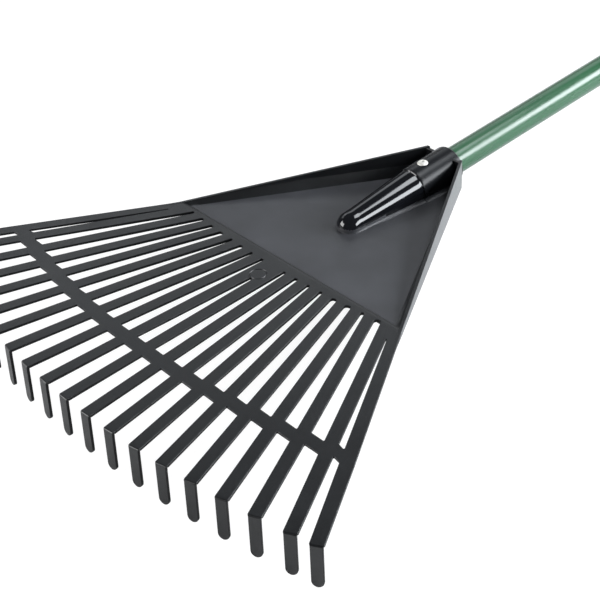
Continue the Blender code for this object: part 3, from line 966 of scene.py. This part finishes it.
sleeve, pin = rivet()
assign(sleeve, metal("rivet alloy", (0.86, 0.84, 0.78), 0.35, 0.35))
assign(pin, metal("mandrel steel", (0.55, 0.54, 0.52), 0.4, 0.9))
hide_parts("rivet_body")
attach(sleeve, "rake")
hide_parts("rivet_mandrel")
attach(pin, "rake")


# ---------------------------------------------------------------- studio


def seen_by_camera(nodes, links, other, seen, output):
    """Shows the camera one shader, and light and reflections the other one."""
    path = nodes.new("ShaderNodeLightPath")
    mix = nodes.new("ShaderNodeMixShader")
    links.new(path.outputs["Is Camera Ray"], mix.inputs["Fac"])
    links.new(other.outputs[0], mix.inputs[1])
    links.new(seen.outputs[0], mix.inputs[2])
    links.new(mix.outputs[0], output.inputs["Surface"])


def studio_floor():
    """Pale paper floor. The camera sees it evenly bright, with only faint shadows on it."""
    mesh = bpy.data.meshes.new("studio_floor")
    shape = bmesh.new()
    bmesh.ops.create_grid(shape, x_segments=1, y_segments=1, size=30)
    shape.to_mesh(mesh)
    shape.free()
    floor = bpy.data.objects.new("studio_floor", mesh)
    bpy.context.scene.collection.objects.link(floor)
    floor.location.z = -0.0005
    made, nodes, links = new_material("studio floor")
    nodes.remove(nodes["Principled BSDF"])
    paper = nodes.new("ShaderNodeBsdfDiffuse")
    paper.inputs["Color"].default_value = (*grey(0.95), 1)
    faint = nodes.new("ShaderNodeBsdfDiffuse")
    faint.inputs["Color"].default_value = (*grey(0.16), 1)
    glow = nodes.new("ShaderNodeEmission")
    glow.inputs["Strength"].default_value = 0.93
    seen = nodes.new("ShaderNodeAddShader")
    links.new(faint.outputs[0], seen.inputs[0])
    links.new(glow.outputs[0], seen.inputs[1])
    seen_by_camera(nodes, links, paper, seen, nodes["Material Output"])
    assign(floor, made)


def soft_light(name, at, size, radiance, colour=(1, 1, 1)):
    """Rectangular softbox of this brightness, turned towards the middle of the head."""
    data = bpy.data.lights.new(name, "AREA")
    data.shape = "RECTANGLE"
    data.size, data.size_y = size
    data.energy = radiance * math.pi * size[0] * size[1]
    data.color = colour
    lamp = bpy.data.objects.new(name, data)
    bpy.context.scene.collection.objects.link(lamp)
    lamp.location = at
    lamp.rotation_euler = (Vector(MIDDLE) - Vector(at)).to_track_quat("-Z", "Y").to_euler()


def world(strength):
    """Dim surroundings for the object, which the camera sees as pale as the floor."""
    made = bpy.data.worlds.new("studio")
    made.use_nodes = True
    nodes, links = made.node_tree.nodes, made.node_tree.links
    dim = nodes["Background"]
    dim.inputs["Color"].default_value = (*COOL, 1)
    dim.inputs["Strength"].default_value = strength
    pale = nodes.new("ShaderNodeBackground")
    pale.inputs["Color"].default_value = (*grey(0.97), 1)
    seen_by_camera(nodes, links, dim, pale, nodes["World Output"])
    bpy.context.scene.world = made


def camera():
    data = bpy.data.cameras.new("camera")
    data.lens = CAMERA_LENS
    data.sensor_width = 36
    data.clip_end = 100
    made = bpy.data.objects.new("camera", data)
    bpy.context.scene.collection.objects.link(made)
    turn = Euler([math.radians(angle) for angle in CAMERA_TURN])
    made.matrix_world = HEAD @ Matrix.Translation(CAMERA_AT) @ turn.to_matrix().to_4x4()
    bpy.context.scene.camera = made


MIDDLE = (0, -0.45, 0.0)
COOL = (0.92, 0.96, 1.0)

studio_floor()
world(0.11)
soft_light("right box", (1.05, 0.45, 0.55), (1.8, 0.5), 16, COOL)
soft_light("high box", (0.325, 0.47, 1.388), (0.66, 0.43), 10.3, COOL)
soft_light("backdrop", (-1.2, 2.6, 0.5), (4.0, 1.0), 0.5)
soft_light("low back box", (-0.72, 0.80, 0.86), (0.85, 0.5), 1.3, COOL)
soft_light("back left box", (-1.25, 0.27, 0.90), (0.85, 0.5), 1.45, COOL)
soft_light("left box", (-1.45, -0.45, 0.90), (0.85, 0.5), 1.2, COOL)
soft_light("front left box", (-0.9, -1.9, 0.7), (1.2, 0.8), 10.0)
camera()

bpy.context.scene.view_settings.view_transform = "Standard"
bpy.context.scene.view_settings.look = "None"
